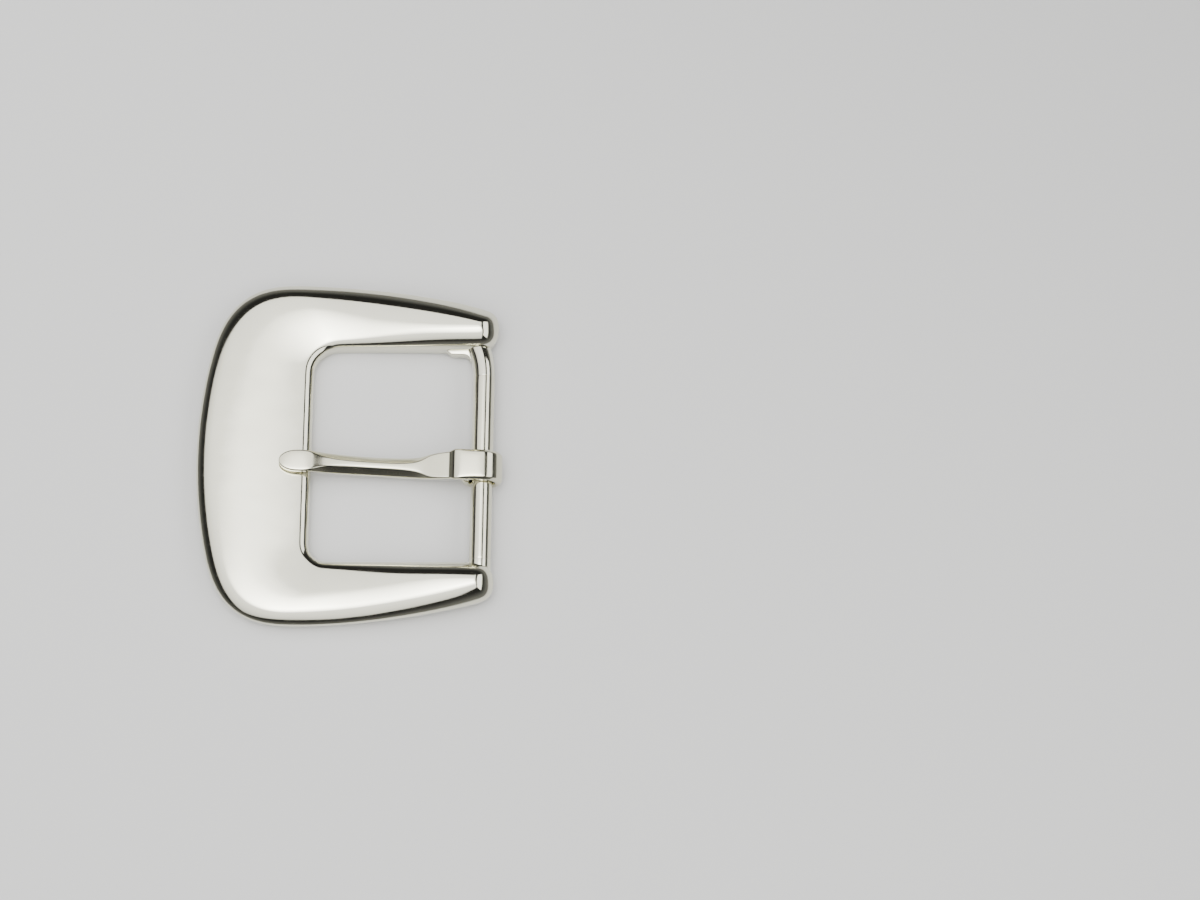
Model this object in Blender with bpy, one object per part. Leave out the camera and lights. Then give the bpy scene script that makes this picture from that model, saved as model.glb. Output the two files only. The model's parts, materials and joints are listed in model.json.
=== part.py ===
"""Belt buckle for a 38 mm strap: a cast C-shaped frame, its round heel bar and the tongue curled round that bar.

The buckle lies on its back. +Z is out of the face, the tongue points to -X and the heel bar lies along Y.
Lengths are in metres. The origin is under the middle of the whole buckle, level with its back.
"""

from math import asin, cos, copysign, pi, radians, sin

import bmesh
import bpy
from mathutils import Vector

for old in list(bpy.data.objects):
    bpy.data.objects.remove(old, do_unlink=True)

MM = 0.001

# Plan of the frame, measured from the middle of its length.
FRONT_X = -27.1 * MM  # outermost point of the front band
BAND_WIDTH = 21.2 * MM  # front band, from its outer edge to the window
WINDOW_HALF = 20.25 * MM  # half the inside width between the arms
UPPER_CORNER = 4.8 * MM  # radius of the window's corner at the upper arm
LOWER_CORNER = 3.3 * MM  # and at the lower arm
ARM_WIDTH = 12.25 * MM  # at the shoulders, where the frame is widest
SHOULDER_X = -10.0 * MM  # and how far along they are
FRONT_SAG = 2.2 * MM  # how far the curved front edge falls back at its corners
CORNER_LENGTH = 13.0 * MM  # of each big outer corner, along Y
CORNER_PULL = 0.73  # how full that corner is, as a share of its length
SHOULDER_PULL = 0.53  # how long it stays parallel to the arm before the shoulder
TAPER_PULL = 0.4  # and after it, as a share of the tapered stretch
NOSE_PULL = 0.18  # how gradually the taper runs into the nose
NOSE_X = 24.35 * MM  # centre of the rounded end of each arm
NOSE_RADIUS = 3.85 * MM
NOSE_START = radians(72)  # where the arm's outer edge runs into the nose, from +X

# Heights of the frame.
FACE_HEIGHT = 5.4 * MM  # crest of the front band above the back
NOSE_LIFT = 2.4 * MM  # extra height of the arms' crests at the noses
BACK_LIFT = 0.4 * MM  # how far the arms' backs have risen at the noses
CREST_SHARE = 0.58  # place of the crest between the window and the outer edge
CROWN = 0.8 * MM  # fall of the domed face from its crest to its edges, without the rims
WALL_HEIGHT = 3.2 * MM  # height of the widest line above the back
OUTER_RIM = 3.1 * MM  # width of the rounded outer edge
INNER_RIM = 1.9 * MM  # width of the rounded edge along the window
NOSE_RIM = 3.3 * MM  # both grow to this width along the arms, so that the noses are domed all over
MOST_RIM = 0.85  # share of the section from crest to edge that a rim may take
OUTER_SETBACK = 0.9 * MM  # of the flat back from the widest line
INNER_SETBACK = 0.25 * MM  # and from the window's narrowest line
OUTER_FULLNESS = 1.75  # 2 is a plain ellipse, more is squarer
INNER_FULLNESS = 2.1
NOSE_FULLNESS = 2.4  # of each nose's outline in plan
NOSE_CREST = 0.01 * MM  # the crest ends at the nose's centre within this of it

# Heel bar, and the leaning root on the upper arm that meets it.
BAR_RADIUS = 2.0 * MM
BAR_SETBACK = 2.7 * MM  # bar's axis from the end of the noses
BAR_HEIGHT = 4.0 * MM  # bar's axis above the back
SPIGOT_RADIUS = 1.0 * MM  # thin ends that sit in the arms
SPIGOT_LENGTH = 2.4 * MM
FIT_GAP = 0.3 * MM  # between the bar and the frame, all round
ROOT_LENGTH = 5.2 * MM
ROOT_FLARE = 0.3 * MM  # how much wider the root is at the arm
ROOT_LEAN = 1.35 * MM  # how far it leans into the window there
ROOT_DROP = 0.5 * MM  # how far it sinks below the bar's axis there
ROOT_BURY = 1.2 * MM  # how deep it runs into the arm
PAD_LENGTH = 3.7 * MM  # raised pad on the arm's inner wall, beside the root
PAD_SLOPE = 0.9 * MM  # length over which it rises from the wall
PAD_HEIGHT = 0.6 * MM
PAD_LOW = 1.0 * MM  # its lower and upper edges above the back
PAD_HIGH = 3.4 * MM
SEAT_LENGTH = 0.6 * MM  # short round seat for the bar's end on the lower arm

# Tongue.
TONGUE_Y = -2.4 * MM  # where it has slid to along the bar
LOOP_GAP = 0.35 * MM  # running clearance round the bar
STRIP = 1.5 * MM  # thickness of the strip in the loop
LOOP_WIDTH = 5.7 * MM
LOOP_EDGE = 0.55 * MM  # rounded edges of the loop
SHELF = 4.4 * MM  # level stretch in front of the bar's axis
STEP = 1.15 * MM  # length of the bend from the shelf down to the plate
STEP_DROP = 1.0 * MM
PLATE = 4.2 * MM  # flat facet between the bend and the ridge
PLATE_WIDTH = 4.7 * MM
PLATE_FALL = 0.8 * MM  # how far the plate slopes down along its length
RIDGE_START = 1.6 * MM  # length over which the plate narrows to the ridge
RIDGE_WIDTH = 0.9 * MM  # flat top of the ridge along the shank
RIDGE_DEPTH = 1.25 * MM  # how far its sides slope down
WAIST_WIDTH = 3.4 * MM
WAIST_THICKNESS = 2.6 * MM
WAIST_TOP = 5.2 * MM  # top of the ridge at the waist, above the back
HEEL_BOW = -0.3 * MM  # sideways bend of the shank near the loop
WAIST_BOW = 0.1 * MM  # and at the waist
TIP_BOW = 0.4 * MM  # and from the neck to the tip
TIP_NECK = 2.6 * MM  # where the ridge starts to widen into the tip, ahead of the window's edge
TIP_WIDTH = 4.0 * MM
TIP_THICKNESS = 1.5 * MM
TIP_REACH = 5.8 * MM  # how far the tip lies over the front band
TIP_ROUND = 3.3 * MM  # length of the tip's oval end
TIP_GAP = 0.3 * MM  # between the resting tip and the face
TAIL_GAP = 0.4 * MM  # between the curled end and the plate over it
STRIP_EDGE = 0.25 * MM  # broken edges of the strip
TIP_TURN = radians(80)  # how far round the tip's oval end goes before its blunt edge
TIP_THINNING = 0.4  # how much thinner that edge is, as a share

# Fineness of the round stretches.
RIM_STEPS = 6
FACE_STEPS = 3
NOSE_STEPS = 10
CORNER_STEPS = 6
ARM_STEPS = 6
FRONT_STEPS = 3
BAR_SIDES = 32
LOOP_STEPS = 20
SHANK_STEPS = 3
TIP_STEPS = 5

WINDOW_X = FRONT_X + BAND_WIDTH
HALF_WIDTH = WINDOW_HALF + ARM_WIDTH
NOSE_Y = WINDOW_HALF + NOSE_RADIUS
BAR_X = NOSE_X + NOSE_RADIUS - BAR_SETBACK
LOOP_RADIUS = BAR_RADIUS + LOOP_GAP + STRIP
HEEL_X = max(NOSE_X + NOSE_RADIUS, BAR_X + LOOP_RADIUS)
TO_MIDDLE = Vector((-(FRONT_X + HEEL_X) / 2, 0, 0))


# Helpers: curves, rings of points and finished objects.


def ease(share):
    share = min(max(share, 0.0), 1.0)
    return share * share * (3 - 2 * share)


def bezier(a, b, c, d, share):
    rest = 1 - share
    return (
        rest**3 * Vector(a)
        + 3 * rest**2 * share * Vector(b)
        + 3 * rest * share**2 * Vector(c)
        + share**3 * Vector(d)
    )


def smooth_rows(rows, steps):
    """Catmull-Rom curve through rows of numbers, with the given steps from each row to the next."""
    points = [Vector(row) for row in rows]
    points = [2 * points[0] - points[1], *points, 2 * points[-1] - points[-2]]
    found = []
    for a, b, c, d in zip(points, points[1:], points[2:], points[3:]):
        for i in range(steps):
            t = i / steps
            found.append(
                b + 0.5 * t * (c - a + t * (2 * a - 5 * b + 4 * c - d + t * (3 * (b - c) + d - a)))
            )
    found.append(points[-2])
    return found


def add_ring(bm, points):
    return [bm.verts.new(point) for point in points]


def join_rings(bm, rings, closed=True):
    """Joins each ring to the next with quads, or with triangles where both hold the same vertex."""
    for first, second in zip(rings, rings[1:]):
        count = len(first)
        for i in range(count if closed else count - 1):
            j = (i + 1) % count
            corners = [first[i], first[j], second[j], second[i]]
            bm.faces.new(list(dict.fromkeys(corners)))


def metal(name, colour, roughness):
    material = bpy.data.materials.new(name)
    material.use_nodes = True
    shader = material.node_tree.nodes["Principled BSDF"]
    shader.inputs["Base Color"].default_value = (*colour, 1)
    shader.inputs["Metallic"].default_value = 1.0
    shader.inputs["Roughness"].default_value = roughness
    return material


def add_object(name, bm, origin=(0, 0, 0)):
    """Makes the object from a mesh in the frame's own plan, with its origin at the given point of it."""
    bmesh.ops.recalc_face_normals(bm, faces=bm.faces)
    bmesh.ops.translate(bm, verts=bm.verts, vec=-Vector(origin))
    mesh = bpy.data.meshes.new(name)
    bm.to_mesh(mesh)
    bm.free()
    mesh.shade_smooth()
    mesh.set_sharp_from_angle(angle=radians(35))
    made = bpy.data.objects.new(name, mesh)
    made.location = Vector(origin) + TO_MIDDLE
    bpy.context.collection.objects.link(made)
    return made


# Frame: sections across the C, from one nose round the front to the other.


def fuller(value, fullness):
    """A sine or cosine bent so that its circle becomes a squarer oval."""
    return copysign(abs(value) ** (2 / fullness), value)


def nose_point(angle):
    out = Vector((fuller(cos(angle), NOSE_FULLNESS), fuller(sin(angle), NOSE_FULLNESS)))
    return Vector((NOSE_X, NOSE_Y)) + NOSE_RADIUS * out


def half_stations(corner):
    """(outer, inner) points in plan from the middle of the front to a nose, with the window's corner radius."""
    start = Vector((FRONT_X + FRONT_SAG, HALF_WIDTH - CORNER_LENGTH))
    straight = WINDOW_HALF - corner
    pairs = []
    for i in range(FRONT_STEPS):
        share = i / FRONT_STEPS
        outer = Vector((FRONT_X + FRONT_SAG * share**2, start.y * share))
        pairs.append((outer, Vector((WINDOW_X, straight * share))))
    leave = start + CORNER_PULL * CORNER_LENGTH * Vector((2 * FRONT_SAG / start.y, 1)).normalized()
    shoulder = Vector((SHOULDER_X, HALF_WIDTH))
    arrive = shoulder - Vector((SHOULDER_PULL * (SHOULDER_X - start.x), 0))
    centre = Vector((WINDOW_X + corner, straight))
    for i in range(CORNER_STEPS):
        share = i / CORNER_STEPS
        turn = pi - share * pi / 2
        inner = centre + corner * Vector((cos(turn), sin(turn)))
        pairs.append((bezier(start, leave, arrive, shoulder, share), inner))
    end = nose_point(NOSE_START)
    along = Vector((sin(NOSE_START), -cos(NOSE_START)))
    reach = end.x - SHOULDER_X
    leave = shoulder + Vector((TAPER_PULL * reach, 0))
    arrive = end - NOSE_PULL * reach * along
    for i in range(ARM_STEPS + 1):
        share = i / ARM_STEPS
        inner = Vector((centre.x + (NOSE_X - centre.x) * share, WINDOW_HALF))
        pairs.append((bezier(shoulder, leave, arrive, end, share), inner))
    return pairs


def half_profile(width, rim, fullness, setback):
    """(distance from the crest, height) pairs from beside the crest down to the edge of the back."""
    rim = min(rim, MOST_RIM * width)
    shoulder = width - rim
    outs = [(shoulder * i / FACE_STEPS, 1) for i in range(1, FACE_STEPS)]
    for i in range(RIM_STEPS + 1):
        turn = i * pi / 2 / RIM_STEPS
        outs.append((shoulder + rim * fuller(sin(turn), fullness), fuller(cos(turn), fullness)))
    above_wall = FACE_HEIGHT - WALL_HEIGHT
    points = [(out, WALL_HEIGHT + (above_wall - CROWN * (out / width) ** 2) * up) for out, up in outs]
    points.append((width - setback, 0))
    return points


def lifted(plan, height):
    """Raises a point by the arms' gentle rise towards their noses."""
    rise = ease((plan.x - WINDOW_X) / (NOSE_X - WINDOW_X))
    extra = BACK_LIFT + (NOSE_LIFT - BACK_LIFT) * height / FACE_HEIGHT
    return Vector((plan.x, plan.y, height + extra * rise))


def half_ring(crest, edge, rim, fullness, setback):
    toward = (edge - crest).normalized()
    rim += (NOSE_RIM - rim) * ease((crest.x - SHOULDER_X) / (NOSE_X - SHOULDER_X))
    profile = half_profile((edge - crest).length, rim, fullness, setback)
    return [lifted(crest + out * toward, height) for out, height in profile]


def crest_between(outer, inner):
    """The crest keeps its share of the section's width, and runs to the nose's own centre along each arm."""
    crest = inner + CREST_SHARE * (outer - inner)
    along = ease((crest.x - SHOULDER_X) / (NOSE_X - SHOULDER_X))
    centre_line = Vector((crest.x, copysign(NOSE_Y, crest.y)))
    at_end = inner.x > NOSE_X - NOSE_CREST
    return Vector((NOSE_X, centre_line.y)) if at_end else crest.lerp(centre_line, along)


def frame_ring(bm, outer, inner, crest):
    """One whole section: under the crest, up the outer side, over the crest and down the inner side."""
    outside = half_ring(crest, outer, OUTER_RIM, OUTER_FULLNESS, OUTER_SETBACK)
    inside = half_ring(crest, inner, INNER_RIM, INNER_FULLNESS, INNER_SETBACK)
    middle = [lifted(crest, FACE_HEIGHT)]
    return add_ring(bm, [lifted(crest, 0), *reversed(outside), *middle, *inside])


def round_nose(bm, ring, mirror):
    """Turns the last section's outer half round the nose's centre to meet its inner half."""
    count = (len(ring) - 2) // 2
    under, crest = ring[0], ring[count + 1]
    outer_half = [crest, *reversed(ring[1 : count + 1]), under]
    inner_half = [crest, *ring[count + 2 :], under]
    centre = Vector((NOSE_X, NOSE_Y))
    halves = [outer_half]
    for i in range(1, NOSE_STEPS):
        share = i / NOSE_STEPS
        angle = NOSE_START - share * (NOSE_START + pi / 2)
        fullness = OUTER_FULLNESS + (INNER_FULLNESS - OUTER_FULLNESS) * share
        setback = OUTER_SETBACK + (INNER_SETBACK - OUTER_SETBACK) * share
        points = half_ring(centre, nose_point(angle), NOSE_RIM, fullness, setback)
        points = [Vector((p.x, mirror * p.y, p.z)) for p in points]
        halves.append([crest, *add_ring(bm, points), under])
    join_rings(bm, [*halves, inner_half], closed=False)


def upper_root():
    """Boss that leans out of the upper arm to meet the bar's end."""
    bm = bmesh.new()
    rings = []
    start = WINDOW_HALF - ROOT_LENGTH
    for i in range(RIM_STEPS + 2):
        share = i / (RIM_STEPS + 1)
        widen = share * share
        y = start + share * (ROOT_LENGTH + ROOT_BURY)
        across = BAR_RADIUS + ROOT_FLARE * widen
        centre = Vector((BAR_X - ROOT_LEAN * widen, y, BAR_HEIGHT - ROOT_DROP * widen))
        points = []
        for k in range(BAR_SIDES):
            turn = 2 * pi * k / BAR_SIDES
            points.append(centre + Vector((across * cos(turn), 0, BAR_RADIUS * sin(turn))))
        rings.append(add_ring(bm, points))
    join_rings(bm, rings)
    bm.faces.new(rings[0])
    bm.faces.new(rings[-1])
    return add_object("upper_root_guide", bm)


def root_pad():
    """Low pad on the upper arm's inner wall, on the window's side of the root."""
    bm = bmesh.new()
    start = BAR_X - ROOT_LEAN - BAR_RADIUS - PAD_LENGTH
    rings = []
    for x, height in ((start, 0), (start + PAD_SLOPE, PAD_HEIGHT), (BAR_X - ROOT_LEAN, PAD_HEIGHT)):
        face, back = WINDOW_HALF - height, WINDOW_HALF + ROOT_BURY
        corners = ((face, PAD_LOW), (back, PAD_LOW), (back, PAD_HIGH), (face, PAD_HIGH))
        rings.append(add_ring(bm, [(x, y, z) for y, z in corners]))
    join_rings(bm, rings)
    bm.faces.new(rings[0])
    bm.faces.new(rings[-1])
    return add_object("root_pad_guide", bm)


def lower_seat():
    """Short boss on the lower arm that the bar's other end meets."""
    bm = bmesh.new()
    turned(bm, [(-WINDOW_HALF - ROOT_BURY, BAR_RADIUS), (-WINDOW_HALF + SEAT_LENGTH, BAR_RADIUS)])
    return add_object("lower_seat_guide", bm)


def bar_profile():
    """(distance along Y, radius) pairs of the bar from its lower end to its upper end."""
    low = -WINDOW_HALF + SEAT_LENGTH + FIT_GAP
    high = WINDOW_HALF - ROOT_LENGTH - FIT_GAP
    ends = [(low - SPIGOT_LENGTH, SPIGOT_RADIUS), (low, SPIGOT_RADIUS)]
    body = [(low, BAR_RADIUS), (high, BAR_RADIUS)]
    return [*ends, *body, (high, SPIGOT_RADIUS), (high + SPIGOT_LENGTH, SPIGOT_RADIUS)]


def turned(bm, profile):
    """Solid of revolution about the bar's axis."""
    rings = []
    for y, radius in profile:
        points = []
        for k in range(BAR_SIDES):
            turn = 2 * pi * k / BAR_SIDES
            points.append((BAR_X + radius * cos(turn), y, BAR_HEIGHT + radius * sin(turn)))
        rings.append(add_ring(bm, points))
    join_rings(bm, rings)
    bm.faces.new(rings[0])
    bm.faces.new(rings[-1])


def spigot_cutter(name, near, far):
    """Hole for one thin end of the bar, wider than it by the fit gap."""
    bm = bmesh.new()
    turned(bm, [(near, SPIGOT_RADIUS + FIT_GAP), (far, SPIGOT_RADIUS + FIT_GAP)])
    return add_object(name, bm)


def apply_boolean(made, other, operation):
    step = made.modifiers.new(other.name, "BOOLEAN")
    step.operation = operation
    step.object = other
    step.solver = "EXACT"
    other.hide_render = True
    other.display_type = "WIRE"


def build_frame():
    bm = bmesh.new()
    lower = half_stations(LOWER_CORNER)[:0:-1]
    lower = [(Vector((outer.x, -outer.y)), Vector((inner.x, -inner.y))) for outer, inner in lower]
    rings = []
    for outer, inner in lower + half_stations(UPPER_CORNER):
        rings.append(frame_ring(bm, outer, inner, crest_between(outer, inner)))
    join_rings(bm, rings)
    round_nose(bm, rings[0], -1)
    round_nose(bm, rings[-1], 1)
    frame = add_object("frame", bm)
    apply_boolean(frame, upper_root(), "UNION")
    apply_boolean(frame, root_pad(), "UNION")
    apply_boolean(frame, lower_seat(), "UNION")
    seat_face = -WINDOW_HALF + SEAT_LENGTH
    root_mouth = WINDOW_HALF - ROOT_LENGTH
    clear = 1 * MM  # the cutters start this far outside what they cut
    depth = SPIGOT_LENGTH + FIT_GAP
    low = spigot_cutter("lower_socket_guide", seat_face - depth, seat_face + clear)
    high = spigot_cutter("upper_socket_guide", root_mouth - clear, root_mouth + depth)
    apply_boolean(frame, low, "DIFFERENCE")
    apply_boolean(frame, high, "DIFFERENCE")
    frame.data.materials.append(metal("bright_nickel", (0.86, 0.85, 0.80), 0.12))


# Heel bar.


def build_bar():
    bm = bmesh.new()
    turned(bm, bar_profile())
    bar = add_object("heel_bar", bm, (BAR_X, 0, BAR_HEIGHT))
    bar.data.materials.append(metal("plated_steel", (0.82, 0.81, 0.76), 0.16))


# Tongue.


def loop_rows():
    """Rows (x, z, normal x, normal z, sideways, width, thickness, flat top, bevel) from the tail to the top."""
    middle = BAR_RADIUS + LOOP_GAP + STRIP / 2
    tail = pi - asin((BAR_RADIUS + LOOP_GAP - TAIL_GAP) / LOOP_RADIUS)
    rows = []
    for i in range(LOOP_STEPS + 1):
        angle = tail + (2.5 * pi - tail) * i / LOOP_STEPS
        out = Vector((cos(angle), sin(angle)))
        place = Vector((BAR_X, BAR_HEIGHT)) + middle * out
        rows.append((*place, *out, 0, LOOP_WIDTH, STRIP, LOOP_WIDTH - 2 * LOOP_EDGE, LOOP_EDGE))
    return rows


def face_over_band(x):
    """Height of the front band's domed face between its crest and the window."""
    return FACE_HEIGHT - CROWN * (1 - (WINDOW_X - x) / (CREST_SHARE * BAND_WIDTH)) ** 2


def flat_knot(x, top, sideways, width, thickness, edge):
    """Knot of the shank's curve where the strip's top is flat."""
    return x, top - thickness / 2, sideways, width, thickness, width - 2 * edge, edge


def ridge_knot(x, top, sideways, width, thickness):
    """Knot of the same curve where the strip carries the ridge."""
    return x, top - thickness / 2, sideways, width, thickness, RIDGE_WIDTH, RIDGE_DEPTH


def shank_rows():
    """The same rows from the top of the loop to the end of the tip."""
    loop_top = BAR_HEIGHT + LOOP_RADIUS
    plate_top = loop_top - STEP_DROP
    plate_low = plate_top - PLATE_FALL
    tip_x = WINDOW_X - TIP_REACH
    rest = face_over_band(tip_x) + TIP_GAP + TIP_THICKNESS / 2
    tip_top = rest + TIP_THICKNESS / 2
    bend_x = BAR_X - SHELF
    plate_x = bend_x - STEP
    ridge_x = plate_x - PLATE
    full_x = ridge_x - RIDGE_START
    neck_x = WINDOW_X + TIP_NECK
    waist_x = (full_x + neck_x) / 2
    step_width = (LOOP_WIDTH + PLATE_WIDTH) / 2
    neck_width = (WAIST_WIDTH + TIP_WIDTH) / 2
    neck_thickness = (WAIST_THICKNESS + TIP_THICKNESS) / 2
    full_top = (2 * plate_low + WAIST_TOP) / 3  # a third of the way down from the plate to the waist
    full_width = WAIST_WIDTH + STRIP_EDGE
    knots = [
        flat_knot(BAR_X, loop_top, 0, LOOP_WIDTH, STRIP, LOOP_EDGE),
        flat_knot(bend_x, loop_top, 0, LOOP_WIDTH, STRIP, LOOP_EDGE),
        flat_knot(plate_x, plate_top, 0, step_width, STRIP, STRIP_EDGE),
        flat_knot(ridge_x, plate_low, HEEL_BOW / 2, PLATE_WIDTH, STRIP, STRIP_EDGE),
        ridge_knot(full_x, full_top, HEEL_BOW, full_width, WAIST_THICKNESS),
        ridge_knot(waist_x, WAIST_TOP, WAIST_BOW, WAIST_WIDTH, WAIST_THICKNESS),
        ridge_knot(neck_x, (WAIST_TOP + tip_top) / 2, TIP_BOW, neck_width, neck_thickness),
        flat_knot(WINDOW_X, tip_top, TIP_BOW, TIP_WIDTH, TIP_THICKNESS, STRIP_EDGE),
        flat_knot(tip_x + TIP_ROUND, tip_top, TIP_BOW, TIP_WIDTH, TIP_THICKNESS, STRIP_EDGE),
    ]
    curve = smooth_rows(knots, SHANK_STEPS)
    rows = []
    for i, row in enumerate(curve):
        before = curve[max(i - 1, 0)]
        after = curve[min(i + 1, len(curve) - 1)]
        along = Vector((after[0] - before[0], after[1] - before[1])).normalized()
        rows.append((row[0], row[1], along[1], -along[0], *row[2:]))
    for i in range(1, TIP_STEPS + 1):
        turn = i * TIP_TURN / TIP_STEPS
        thin = TIP_THICKNESS * (1 - TIP_THINNING * (1 - cos(turn)))
        narrow = TIP_WIDTH * cos(turn)
        edge = min(STRIP_EDGE, narrow / 4)
        x = tip_x + TIP_ROUND * (1 - sin(turn))
        rows.append((x, rest, 0, 1, TIP_BOW, narrow, thin, narrow - 2 * edge, edge))
    return rows


def strip_ring(bm, row):
    """Section of the strip: flat underneath, with broken edges, and bevelled above to its flat top."""
    x, z, normal_x, normal_z, sideways, width, thickness, flat, bevel = row
    side, half = width / 2, thickness / 2
    edge = min(STRIP_EDGE, side / 2)
    section = [(side - edge, -half), (side, edge - half), (side, half - bevel), (flat / 2, half)]
    section += [(-across, up) for across, up in reversed(section)]
    points = [(x + normal_x * up, sideways + across, z + normal_z * up) for across, up in section]
    return add_ring(bm, points)


def build_tongue():
    bm = bmesh.new()
    rings = [strip_ring(bm, row) for row in loop_rows() + shank_rows()[1:]]
    join_rings(bm, rings)
    bm.faces.new(rings[0])
    bm.faces.new(rings[-1])
    bmesh.ops.translate(bm, verts=bm.verts, vec=(0, TONGUE_Y, 0))
    tongue = add_object("tongue", bm, (BAR_X, TONGUE_Y, BAR_HEIGHT))
    tongue.data.materials.append(metal("plated_tongue", (0.84, 0.83, 0.78), 0.14))


build_frame()
build_bar()
build_tongue()
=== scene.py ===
"""Studio scene of a western belt buckle: its polished frame, the heel bar and the tongue curled round it."""

import json
from math import asin, copysign, cos, pi, radians, sin

import bmesh
import bpy
from mathutils import Matrix, Vector


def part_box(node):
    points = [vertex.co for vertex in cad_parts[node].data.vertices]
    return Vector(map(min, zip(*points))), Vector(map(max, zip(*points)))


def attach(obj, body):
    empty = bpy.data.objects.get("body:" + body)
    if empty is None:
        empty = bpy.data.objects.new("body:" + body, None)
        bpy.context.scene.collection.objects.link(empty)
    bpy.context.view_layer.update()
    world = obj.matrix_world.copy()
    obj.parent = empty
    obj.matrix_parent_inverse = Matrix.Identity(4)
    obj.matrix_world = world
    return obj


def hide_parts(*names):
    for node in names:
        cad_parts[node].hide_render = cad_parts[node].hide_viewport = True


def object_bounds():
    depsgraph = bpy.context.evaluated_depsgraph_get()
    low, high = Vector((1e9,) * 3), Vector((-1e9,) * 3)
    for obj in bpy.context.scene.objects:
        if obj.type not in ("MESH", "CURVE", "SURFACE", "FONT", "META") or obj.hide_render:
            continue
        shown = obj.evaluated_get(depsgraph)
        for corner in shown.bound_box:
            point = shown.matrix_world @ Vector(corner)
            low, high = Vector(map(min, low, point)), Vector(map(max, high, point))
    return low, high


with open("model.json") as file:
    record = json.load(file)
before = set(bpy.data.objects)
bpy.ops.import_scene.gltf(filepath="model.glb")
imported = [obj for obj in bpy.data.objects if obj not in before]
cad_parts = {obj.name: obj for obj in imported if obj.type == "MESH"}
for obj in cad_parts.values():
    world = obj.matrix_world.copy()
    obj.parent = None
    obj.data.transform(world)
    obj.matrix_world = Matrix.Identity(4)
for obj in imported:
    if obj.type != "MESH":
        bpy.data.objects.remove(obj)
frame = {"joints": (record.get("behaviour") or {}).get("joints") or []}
cad_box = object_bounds()

# Frame
# The real piece is one die-cast C of zinc alloy, linished all round its domed face, polished and nickel
# plated. Its arms taper to rounded noses, which carry the heel bar.
MM = 0.001
band_width = 21.2 * MM
arm_width = 12.25 * MM
upper_corner = 4.8 * MM
lower_corner = 3.3 * MM
nose_radius = 3.85 * MM
front_sag = 2.2 * MM
corner_length = 13.0 * MM
corner_pull = 0.73  # how full the big outer corner is
shoulder_back = 17.4 * MM  # from the frame's front edge to where the frame is widest
shoulder_pull = 0.53  # how long the outline runs level before that
taper_pull = 0.4  # and after it
nose_pull = 0.18  # how gradually it runs into the nose
face_height = 5.4 * MM
nose_lift = 2.4 * MM
back_lift = 0.4 * MM
crest_share = 0.58
crown = 0.8 * MM
wall_height = 3.2 * MM
outer_rim = 3.1 * MM
inner_rim = 1.9 * MM
nose_rim = 3.3 * MM
most_rim = 0.85
outer_setback = 0.9 * MM  # how far the back's edge lies inside the widest line
inner_setback = 0.25 * MM
back_edge = 0.15 * MM  # the two rows that keep the back's edge crisp lie this far in
back_flat = 0.6 * MM
undercut_share = 0.9  # of the setback is reached at this share of the wall's height
undercut_height = 0.1
outer_fullness = 1.75
inner_fullness = 2.1
nose_fullness = 2.4
nose_crest = 0.01 * MM  # the crest ends at the nose's centre within this of it
face_steps = 4
rim_steps = 6
nose_steps = 10
corner_steps = 7
arm_steps = 7
front_steps = 4
weld = 0.001 * MM

frame_low, frame_high = (Vector(corner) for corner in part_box("frame"))
front_x = frame_low.x
nose_x = frame_high.x - nose_radius
half_width = frame_high.y
window_x = front_x + band_width
window_half = half_width - arm_width
nose_y = window_half + nose_radius
nose_start = radians(72)
nose_centre = Vector((nose_x, nose_y))


def ease(share):
    share = min(max(share, 0.0), 1.0)
    return share * share * (3 - 2 * share)


def bezier(a, b, c, d, share):
    rest = 1 - share
    return rest**3 * a + 3 * rest**2 * share * b + 3 * rest * share**2 * c + share**3 * d


def fuller(value, fullness):
    """A sine or cosine bent so that its circle becomes a squarer oval."""
    return copysign(abs(value) ** (2 / fullness), value)


def nose_point(angle):
    out = Vector((fuller(cos(angle), nose_fullness), fuller(sin(angle), nose_fullness)))
    return nose_centre + nose_radius * out


def half_stations(corner):
    """(outer, inner) points in plan from the middle of the front to a nose, for one corner of the window."""
    straight = window_half - corner
    start = Vector((front_x + front_sag, half_width - corner_length))
    leave = start + corner_pull * corner_length * Vector((2 * front_sag / start.y, 1)).normalized()
    shoulder = Vector((front_x + shoulder_back, half_width))
    arrive = shoulder - Vector((shoulder_pull * (shoulder.x - start.x), 0))
    centre = Vector((window_x + corner, straight))
    pairs = []
    for i in range(front_steps):
        share = i / front_steps
        outer = Vector((front_x + front_sag * share**2, start.y * share))
        pairs.append((outer, Vector((window_x, straight * share))))
    for i in range(corner_steps):
        share = i / corner_steps
        turn = pi - share * pi / 2
        inner = centre + corner * Vector((cos(turn), sin(turn)))
        pairs.append((bezier(start, leave, arrive, shoulder, share), inner))
    end = nose_point(nose_start)
    reach = end.x - shoulder.x
    leave = shoulder + Vector((taper_pull * reach, 0))
    arrive = end - nose_pull * reach * Vector((sin(nose_start), -cos(nose_start)))
    for i in range(arm_steps + 1):
        share = i / arm_steps
        inner = Vector((centre.x + (nose_x - centre.x) * share, window_half))
        pairs.append((bezier(shoulder, leave, arrive, end, share), inner))
    return pairs


def lifted(plan, height):
    """Raises a point by the arms' gentle rise towards their noses."""
    rise = ease((plan.x - window_x) / (nose_x - window_x))
    extra = back_lift + (nose_lift - back_lift) * height / face_height
    return Vector((plan.x, plan.y, height + extra * rise))


def along_arm(crest):
    """0 at the shoulder and before it, 1 at the nose's centre."""
    return ease((crest.x - front_x - shoulder_back) / (nose_x - front_x - shoulder_back))


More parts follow.
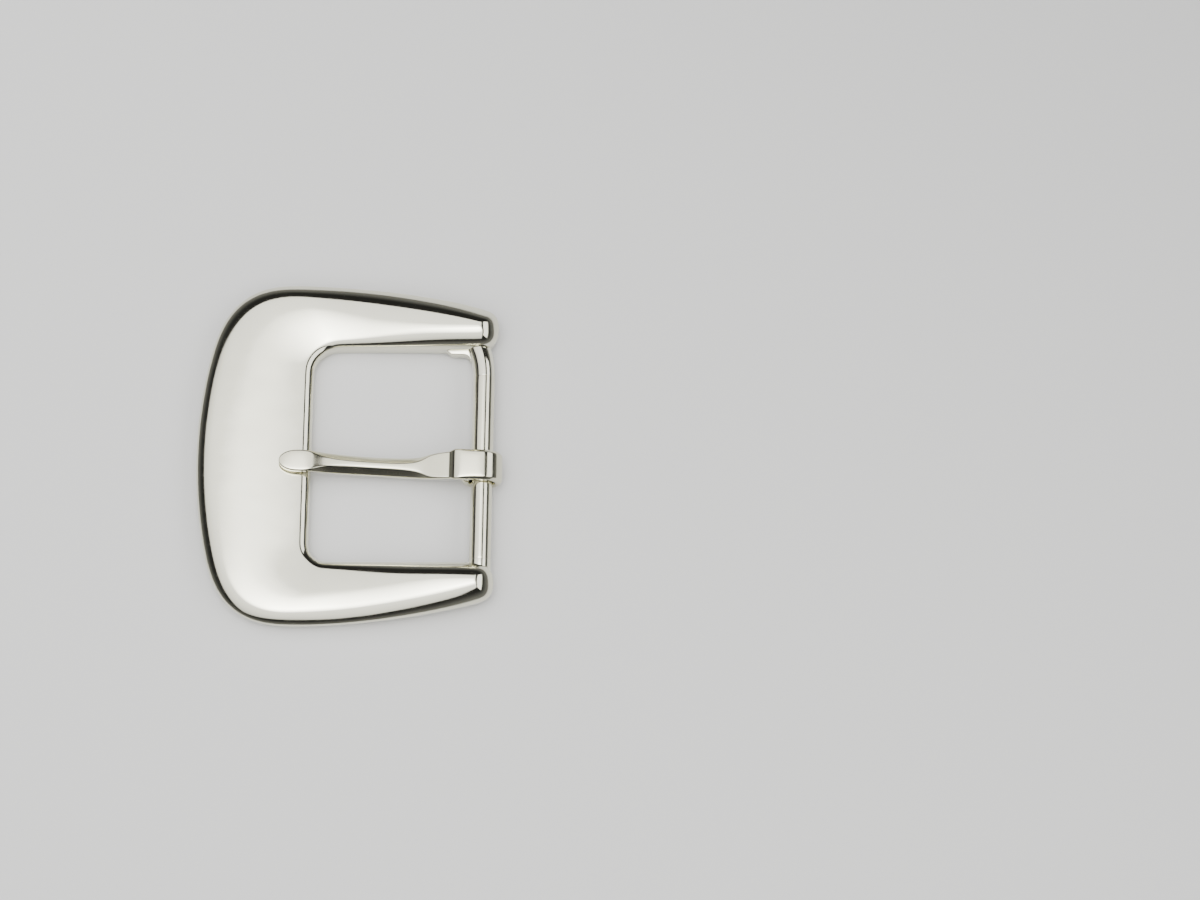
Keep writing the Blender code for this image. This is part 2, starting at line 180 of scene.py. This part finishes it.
def half_section(crest, edge, rim, fullness, setback):
    """Points from beside the crest, over the dome and the rim, and down to the flat of the back."""
    toward = (edge - crest).normalized()
    width = (edge - crest).length
    rim += (nose_rim - rim) * along_arm(crest)
    rim = min(rim, most_rim * width)
    shoulder = width - rim
    outs = [(shoulder * i / face_steps, 1) for i in range(1, face_steps)]
    for i in range(rim_steps + 1):
        turn = i * pi / 2 / rim_steps
        outs.append((shoulder + rim * fuller(sin(turn), fullness), fuller(cos(turn), fullness)))
    above_wall = face_height - wall_height
    places = [(out, wall_height + (above_wall - crown * (out / width) ** 2) * up) for out, up in outs]
    places.append((width - undercut_share * setback, undercut_height * wall_height))
    places += [(width - setback - inset, 0) for inset in (back_edge, back_flat)]
    return [lifted(crest + out * toward, height) for out, height in places]


def crest_between(outer, inner):
    """The crest keeps its share of the section's width, and runs to the nose's own centre along each arm."""
    crest = inner + crest_share * (outer - inner)
    centre_line = Vector((crest.x, copysign(nose_y, crest.y)))
    if inner.x > nose_x - nose_crest:
        return Vector((nose_x, centre_line.y))
    return crest.lerp(centre_line, along_arm(crest))


def sweep(bm, sections, closed=True):
    """Extrudes a chain of edges from section to section, and returns the first and last chains' vertices."""
    first = ring = [bm.verts.new(point) for point in sections[0]]
    following = ring[1:] + ring[:1] if closed else ring[1:]
    edges = [bm.edges.new(link) for link in zip(ring, following)]
    for section in sections[1:]:
        grown = bmesh.ops.extrude_edge_only(bm, edges=edges)["geom"]
        new_edges = [item for item in grown if isinstance(item, bmesh.types.BMEdge)]
        follows = {}
        for vert in ring:
            for edge in vert.link_edges:
                other = edge.other_vert(vert)
                if other in grown:
                    follows[vert] = other
        ring = [follows[vert] for vert in ring]
        for vert, point in zip(ring, section):
            vert.co = point
        edges = [edge for edge in new_edges if edge.verts[0] in ring and edge.verts[1] in ring]
    return first, ring


def finish_mesh(name, bm, materials, levels):
    """Welds, turns the faces outwards and gives the piece its subdivision."""
    bmesh.ops.remove_doubles(bm, verts=bm.verts, dist=weld)
    bmesh.ops.recalc_face_normals(bm, faces=bm.faces)
    mesh = bpy.data.meshes.new(name)
    bm.to_mesh(mesh)
    bm.free()
    mesh.shade_smooth()
    piece = bpy.data.objects.new(name, mesh)
    bpy.context.collection.objects.link(piece)
    for material in materials:
        mesh.materials.append(material)
    if levels:
        smooth = piece.modifiers.new("smooth", "SUBSURF")
        smooth.levels = smooth.render_levels = levels
    return piece


def nickel(name, colour, roughness, scratch):
    """Bright nickel plate: clouds in its tone and polish, a slight swell from linishing and buffing lines."""
    material = bpy.data.materials.new(name)
    material.use_nodes = True
    nodes, links = material.node_tree.nodes, material.node_tree.links
    shader = nodes["Principled BSDF"]
    shader.inputs["Metallic"].default_value = 1.0
    place = nodes.new("ShaderNodeTexCoord")
    darkest, dullest = 0.93, 1.9  # of the full colour, and of the given roughness

    def pattern(scale, stretch, detail):
        mapping = nodes.new("ShaderNodeMapping")
        mapping.inputs["Scale"].default_value = stretch
        texture = nodes.new("ShaderNodeTexNoise")
        texture.inputs["Scale"].default_value = scale
        texture.inputs["Detail"].default_value = detail
        links.new(place.outputs["Object"], mapping.inputs["Vector"])
        links.new(mapping.outputs["Vector"], texture.inputs["Vector"])
        return texture

    def spread(texture, low, high, to_low, to_high):
        scaled = nodes.new("ShaderNodeMapRange")
        for socket, value in zip(("From Min", "From Max", "To Min", "To Max"), (low, high, to_low, to_high)):
            scaled.inputs[socket].default_value = value
        links.new(texture.outputs["Fac"], scaled.inputs["Value"])
        return scaled

    even, across_grain, along_grain = (1, 1, 1), (1, 3, 1), (1, 0.04, 1)
    cloud = spread(pattern(90, even, 4), 0.35, 0.65, 0.0, 1.0)
    tone = nodes.new("ShaderNodeMix")
    tone.data_type = "RGBA"
    tone.inputs["A"].default_value = (*(darkest * part for part in colour), 1)
    tone.inputs["B"].default_value = (*colour, 1)
    links.new(cloud.outputs["Result"], tone.inputs["Factor"])
    links.new(tone.outputs["Result"], shader.inputs["Base Color"])
    polish = spread(pattern(260, across_grain, 6), 0.3, 0.75, roughness, dullest * roughness)
    links.new(polish.outputs["Result"], shader.inputs["Roughness"])
    normal = None
    swell = (pattern(150, even, 1), 0.35, 0.05 * MM)
    buffing = (pattern(2600, along_grain, 3), scratch, 0.01 * MM)
    for texture, strength, depth in (swell, buffing):
        bump = nodes.new("ShaderNodeBump")
        bump.inputs["Strength"].default_value = strength
        bump.inputs["Distance"].default_value = depth
        links.new(texture.outputs["Fac"], bump.inputs["Height"])
        if normal:
            links.new(normal, bump.inputs["Normal"])
        normal = bump.outputs["Normal"]
    links.new(normal, shader.inputs["Normal"])
    return material


face_nickel = nickel("face_nickel", (0.76, 0.745, 0.615), 0.07, 0.10)
back_nickel = nickel("back_nickel", (0.66, 0.65, 0.57), 0.30, 0.5)

bm = bmesh.new()
lower = half_stations(lower_corner)[:0:-1]
lower = [(Vector((outer.x, -outer.y)), Vector((inner.x, -inner.y))) for outer, inner in lower]
sections = []
for outer, inner in lower + half_stations(upper_corner):
    crest = crest_between(outer, inner)
    outside = half_section(crest, outer, outer_rim, outer_fullness, outer_setback)
    inside = half_section(crest, inner, inner_rim, inner_fullness, inner_setback)
    middle = [lifted(crest, face_height)]
    sections.append([lifted(crest, 0), *reversed(outside), *middle, *inside])
sweep(bm, sections)
turns = []
for i in range(nose_steps + 1):
    share = i / nose_steps
    angle = nose_start - share * (nose_start + pi / 2)
    fullness = outer_fullness + (inner_fullness - outer_fullness) * share
    setback = outer_setback + (inner_setback - outer_setback) * share
    around = half_section(nose_centre, nose_point(angle), nose_rim, fullness, setback)
    turns.append([lifted(nose_centre, face_height), *around, lifted(nose_centre, 0)])
sweep(bm, turns, closed=False)
for turn in turns:
    for point in turn:
        point.y = -point.y
sweep(bm, turns, closed=False)
frame_casting = finish_mesh("frame_casting", bm, [face_nickel, back_nickel], 3)
facing_down = -0.9
for face in frame_casting.data.polygons:
    face.material_index = 1 if face.normal.z < facing_down else 0
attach(frame_casting, "frame_body")
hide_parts("frame")

# Root, pad and seat
# All are cast in one with the frame. A round root leans out of the upper arm's inner wall to meet the bar,
# with a low pad beside it. The lower arm has only a short round seat, so the bar's two ends look different.
hinge = frame["joints"][0]
bar_x, tongue_y, bar_height = hinge["pos_m"]
bar_radius = 2.0 * MM
root_length = 5.2 * MM
root_flare = 0.3 * MM
root_lean = 1.35 * MM
root_drop = 0.5 * MM
root_bury = 1.2 * MM
pad_length = 3.7 * MM
pad_slope = 0.9 * MM
pad_height = 0.6 * MM
pad_low = 1.0 * MM
pad_high = 3.4 * MM
pad_fillet = 1.1 * MM  # where the pad turns in to the root
fillet_turn = radians(80)
fillet_steps = 5
fillet_shift = 0.15 * MM
pad_lean = 0.66  # share of the root's lean where the pad meets it
pad_edge = 0.22 * MM
seat_length = 0.6 * MM
seat_edge = 0.05 * MM
boss_radius = 1.002 * bar_radius  # a hair over the bar's, so that the two faces never coincide
crisp_end = 0.15 * MM
root_mouth = 0.01  # share of the root's length that keeps its mouth crisp
root_steps = 8
bar_sides = 24


def round_section(x, y, z, across, high):
    turns = (2 * pi * k / bar_sides for k in range(bar_sides))
    return [Vector((x + across * cos(turn), y, z + high * sin(turn))) for turn in turns]


def edges_between(ring):
    near_by = dict.fromkeys(edge for vert in ring for edge in vert.link_edges)
    return [edge for edge in near_by if set(edge.verts) <= set(ring)]


def close_end(bm, ring):
    """Closes a chain with a shrinking inset, which keeps its edge crisp when it is subdivided."""
    cap = bmesh.ops.contextual_create(bm, geom=edges_between(ring))["faces"]
    bmesh.ops.inset_region(bm, faces=cap, thickness=crisp_end, use_even_offset=True)
    bmesh.ops.poke(bm, faces=cap)


bm = bmesh.new()
sections = []
for share in [0, root_mouth] + [i / root_steps for i in range(1, root_steps + 1)]:
    widen = share * share
    y = window_half - root_length + share * (root_length + root_bury)
    across = boss_radius + root_flare * widen
    x, z = bar_x - root_lean * widen, bar_height - root_drop * widen
    sections.append(round_section(x, y, z, across, boss_radius))
for ring in sweep(bm, sections):
    close_end(bm, ring)
seat_face = -window_half + seat_length
places = (seat_face, seat_face - seat_edge, -window_half - root_bury)
for ring in sweep(bm, [round_section(bar_x, y, bar_height, boss_radius, boss_radius) for y in places]):
    close_end(bm, ring)
bar_bosses = finish_mesh("bar_bosses", bm, [face_nickel], 2)
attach(bar_bosses, "frame_body")
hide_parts("frame")

bm = bmesh.new()
pad_end = bar_x - root_lean * pad_lean - bar_radius
pad_start = bar_x - root_lean - bar_radius - pad_length
wall = window_half - pad_height
outline = [(pad_start, window_half + root_bury), (pad_start, window_half), (pad_start + pad_slope, wall)]
for i in range(fillet_steps + 1):
    turn = i * fillet_turn / fillet_steps
    x = pad_end - pad_fillet + fillet_shift + pad_fillet * sin(turn)
    outline.append((x, wall - pad_fillet * (1 - cos(turn))))
outline += [(pad_end + bar_radius, wall - pad_fillet), (pad_end + bar_radius, window_half + root_bury)]
base = bm.faces.new([bm.verts.new((x, y, pad_low)) for x, y in outline])
grown = bmesh.ops.extrude_face_region(bm, geom=[base])["geom"]
raised = [item for item in grown if isinstance(item, bmesh.types.BMVert)]
bmesh.ops.translate(bm, verts=raised, vec=(0, 0, pad_high - pad_low))
bmesh.ops.bevel(
    bm, geom=bm.edges[:], offset=pad_edge, segments=3, affect="EDGES", profile=0.5, material=-1
)
root_pad = finish_mesh("root_pad", bm, [face_nickel], 0)
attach(root_pad, "frame_body")
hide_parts("frame")

# Heel bar
# The real bar is a polished steel rod, plated with the rest. Its thin ends are hidden in the root and the
# seat, and its body butts against both with no gap to be seen.
# The bar's nickel is the frame's plate given a darker colour: painted shade for the darker look of the bar.
bar_nickel = nickel("bar_nickel", (0.72, 0.70, 0.565), 0.08, 0.08)
bar_bury = 0.1 * MM  # how deep its ends are let into the root and the seat
bar_low = seat_face - bar_bury
bar_high = window_half - root_length + bar_bury
bm = bmesh.new()
places = [bar_low, bar_low + crisp_end, 0, bar_high - crisp_end, bar_high]
for ring in sweep(bm, [round_section(bar_x, y, bar_height, bar_radius, bar_radius) for y in places]):
    close_end(bm, ring)
heel_rod = finish_mesh("heel_rod", bm, [bar_nickel], 2)
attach(heel_rod, "frame_body")
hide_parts("heel_bar")

# Tongue
# The real tongue is one strip, curled round the bar and closed up under itself. Past a step down from the
# loop it carries a ridge with steep sides, and its tip is flattened to an oval that lies on the front band.
loop_gap = 0.35 * MM
strip = 1.5 * MM
loop_width = 5.7 * MM
loop_edge = 0.55 * MM
shelf = 4.4 * MM
step_length = 1.15 * MM
step_drop = 1.0 * MM
plate = 4.2 * MM
plate_width = 4.7 * MM
plate_fall = 0.8 * MM
ridge_start = 1.6 * MM
ridge_width = 0.9 * MM
ridge_depth = 1.25 * MM
waist_width = 3.4 * MM
waist_thickness = 2.6 * MM
waist_top = 5.2 * MM
heel_bow = -0.3 * MM
waist_bow = 0.1 * MM
tip_bow = 0.4 * MM
tip_neck = 2.6 * MM
tip_width = 4.0 * MM
tip_thickness = 1.5 * MM
tip_reach = 5.8 * MM
tip_round = 3.3 * MM
tip_gap = 0.3 * MM
tip_turn = radians(80)  # how far round the tip's oval end goes before its blunt edge
tip_thinning = 0.4  # how much thinner that edge is, as a share
tail_gap = 0.4 * MM
strip_edge = 0.25 * MM
crispness = 0.2  # share of an edge or bevel that stays sharp
crisp_slope = 0.8
loop_steps = 14
tip_steps = 6
# The tongue's nickel is darker than the face's: painted shade for the darker look of the tongue.
tongue_nickel = nickel("tongue_nickel", (0.68, 0.66, 0.52), 0.09, 0.10)


def strip_section(place, normal, sideways, width, thickness, flat, bevel):
    """Section of the strip: flat underneath, with broken edges, and bevelled above to its flat top."""
    side, under = width / 2, thickness / 2
    edge = min(strip_edge, side / 2)
    crisp = crispness * min(edge, bevel)
    half = [(side - edge, -under), (side, edge - under), (side, under - bevel - crisp)]
    half.append((side - crisp_slope * crisp, under - bevel + crisp))
    half += [(flat / 2 + crisp, under - crisp), (flat / 2 - crisp, under)]
    points = half + [(-across, up) for across, up in reversed(half)]
    middle = tongue_y + sideways
    return [Vector((place.x + normal.x * up, middle + out, place.y + normal.y * up)) for out, up in points]


def flat_knot(x, top, sideways, width, thickness, edge):
    return x, top - thickness / 2, sideways, width, thickness, width - 2 * edge, edge


def ridge_knot(x, top, sideways, width, thickness):
    return x, top - thickness / 2, sideways, width, thickness, ridge_width, ridge_depth


loop_middle = bar_radius + loop_gap + strip / 2
loop_outer = bar_radius + loop_gap + strip
loop_top = bar_height + loop_outer
tip_x = window_x - tip_reach
tip_face = face_height - crown * (1 - tip_reach / (crest_share * band_width)) ** 2
tip_top = tip_face + tip_gap + tip_thickness
tail = pi - asin((bar_radius + loop_gap - tail_gap) / loop_outer)
sections = []
for i in range(loop_steps + 1):
    angle = tail + (2.5 * pi - tail) * i / loop_steps
    out = Vector((cos(angle), sin(angle)))
    place = Vector((bar_x, bar_height)) + loop_middle * out
    sections.append(strip_section(place, out, 0, loop_width, strip, loop_width - 2 * loop_edge, loop_edge))
bend_x = bar_x - shelf
plate_x = bend_x - step_length
ridge_x = plate_x - plate
full_x = ridge_x - ridge_start
neck_x = window_x + tip_neck
plate_top = loop_top - step_drop
plate_low = plate_top - plate_fall
full_top = (2 * plate_low + waist_top) / 3  # a third of the way down from the plate to the waist
neck_top = (waist_top + tip_top) / 2
neck_width = (waist_width + tip_width) / 2
neck_thickness = (waist_thickness + tip_thickness) / 2
step_width = (loop_width + plate_width) / 2
shelf_middle = bar_x - 0.6 * shelf
step_middle_x, step_middle_top = bend_x - 0.4 * step_length, loop_top - 0.35 * step_drop
fold_end = 0.5 * MM  # past the step, where the plate has nearly its own width
fold_top = plate_top - 0.08 * plate_fall
fold_width = plate_width + 0.3 * MM
knots = [
    flat_knot(bar_x, loop_top, 0, loop_width, strip, loop_edge),
    flat_knot(shelf_middle, loop_top, 0, loop_width, strip, loop_edge),
    flat_knot(bend_x, loop_top, 0, loop_width, strip, strip_edge),
    flat_knot(step_middle_x, step_middle_top, 0, loop_width, strip, strip_edge),
    flat_knot(plate_x, plate_top, 0, step_width, strip, strip_edge),
    flat_knot(plate_x - fold_end, fold_top, 0, fold_width, strip, strip_edge),
    flat_knot(ridge_x, plate_low, heel_bow / 2, plate_width, strip, strip_edge),
    ridge_knot(full_x, full_top, heel_bow, waist_width + strip_edge, waist_thickness),
    ridge_knot((full_x + neck_x) / 2, waist_top, waist_bow, waist_width, waist_thickness),
    ridge_knot(neck_x, neck_top, tip_bow, neck_width, neck_thickness),
    flat_knot(window_x, tip_top, tip_bow, tip_width, tip_thickness, strip_edge),
    flat_knot(tip_x + tip_round, tip_top, tip_bow, tip_width, tip_thickness, strip_edge),
]
for before, knot, after in zip(knots, knots[1:], knots[2:] + knots[-1:]):
    along = Vector((after[0] - before[0], after[1] - before[1])).normalized()
    sections.append(strip_section(Vector(knot[:2]), Vector((along.y, -along.x)), *knot[2:]))
for i in range(1, tip_steps + 1):
    turn = i * tip_turn / tip_steps
    thin = tip_thickness * (1 - tip_thinning * (1 - cos(turn)))
    narrow = tip_width * cos(turn)
    edge = min(strip_edge, narrow / 4)
    place = Vector((tip_x + tip_round * (1 - sin(turn)), tip_top - tip_thickness / 2))
    sections.append(strip_section(place, Vector((0, 1)), tip_bow, narrow, thin, narrow - 2 * edge, edge))
bm = bmesh.new()
for ring in sweep(bm, sections):
    bmesh.ops.contextual_create(bm, geom=edges_between(ring))
tongue_strip = finish_mesh("tongue_strip", bm, [tongue_nickel], 3)
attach(tongue_strip, "tongue_body")
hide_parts("tongue")

# Floor
# A plain, pale, matt sheet of paper. It lies flat under the buckle's back, a hair below it, and runs out of
# sight on every side.
floor_half = 3.0
floor_gap = 0.02 * MM
bm = bmesh.new()
bmesh.ops.create_grid(bm, x_segments=1, y_segments=1, size=floor_half)
bmesh.ops.translate(bm, verts=bm.verts, vec=(0, 0, cad_box[0][2] - floor_gap))
paper = bpy.data.materials.new("pale_paper")
paper.use_nodes = True
paper_shader = paper.node_tree.nodes["Principled BSDF"]
paper_shader.inputs["Base Color"].default_value = (0.66, 0.66, 0.65, 1)
paper_shader.inputs["Roughness"].default_value = 0.85
floor = finish_mesh("floor", bm, [paper], 0)

# Lights and camera
# A big soft tent hangs level over the buckle, open behind it, with a brighter panel on the heel side and a
# gentle one overhead. The room's walls are dim, and a little lighter towards the floor.
def hang(name, size, radiance, spread, place):
    """A panel that looks straight down, as bright as asked whatever its size."""
    light = bpy.data.lights.new(name, "AREA")
    light.shape = "RECTANGLE"
    light.size, light.size_y = size
    light.energy = radiance * pi * light.size * light.size_y
    light.spread = radians(spread)
    lamp = bpy.data.objects.new(name, light)
    bpy.context.collection.objects.link(lamp)
    lamp.location = place
    return lamp


def hang_tilted(name, size, radiance, spread, tilt_x, distance):
    """A panel square-on to the buckle, tilted towards its heel and a little towards the lower arm."""
    tilt_y = radians(-5)
    place = distance * Vector((sin(tilt_x), sin(tilt_y), cos(tilt_x) * cos(tilt_y)))
    lamp = hang(name, size, radiance, spread, place)
    lamp.rotation_euler = place.to_track_quat("Z", "Y").to_euler()


hang("tent", (0.83, 1.15), 1.65, 145, (-0.255, -0.215, 0.45))
hang_tilted("heel_panel", (1.2, 0.42), 2.8, 180, radians(45), 0.80)
hang_tilted("glow_panel", (0.60, 0.36), 0.60, 46, radians(-3), 0.44)
room = bpy.data.worlds.new("room")
room.use_nodes = True
nodes, links = room.node_tree.nodes, room.node_tree.links
direction = nodes.new("ShaderNodeTexCoord")
height = nodes.new("ShaderNodeSeparateXYZ")
walls = nodes.new("ShaderNodeMapRange")
walls.interpolation_type = "SMOOTHSTEP"
for socket, value in (("From Min", 0.0), ("From Max", 0.46), ("To Min", 0.24), ("To Max", 0.028)):
    walls.inputs[socket].default_value = value
links.new(direction.outputs["Generated"], height.inputs["Vector"])
links.new(height.outputs["Z"], walls.inputs["Value"])
links.new(walls.outputs["Result"], nodes["Background"].inputs["Color"])
bpy.context.scene.world = room

camera_distance = 0.80
camera_pitch = radians(15.5)
camera_roll = radians(0.92)
camera_target = Vector((45.95 * MM, 1.86 * MM, 3.0 * MM))
camera = bpy.data.cameras.new("camera")
camera.sensor_width = 36
camera.lens = 130.6
viewer = bpy.data.objects.new("camera", camera)
bpy.context.collection.objects.link(viewer)
right = Vector((1, 0, 0))
up = Vector((0, cos(camera_pitch), sin(camera_pitch)))
back = right.cross(up)
turned_right = right * cos(camera_roll) + up * sin(camera_roll)
turned_up = up * cos(camera_roll) - right * sin(camera_roll)
facing = Matrix((turned_right, turned_up, back)).transposed().to_4x4()
viewer.matrix_world = Matrix.Translation(camera_target + camera_distance * back) @ facing
bpy.context.scene.camera = viewer
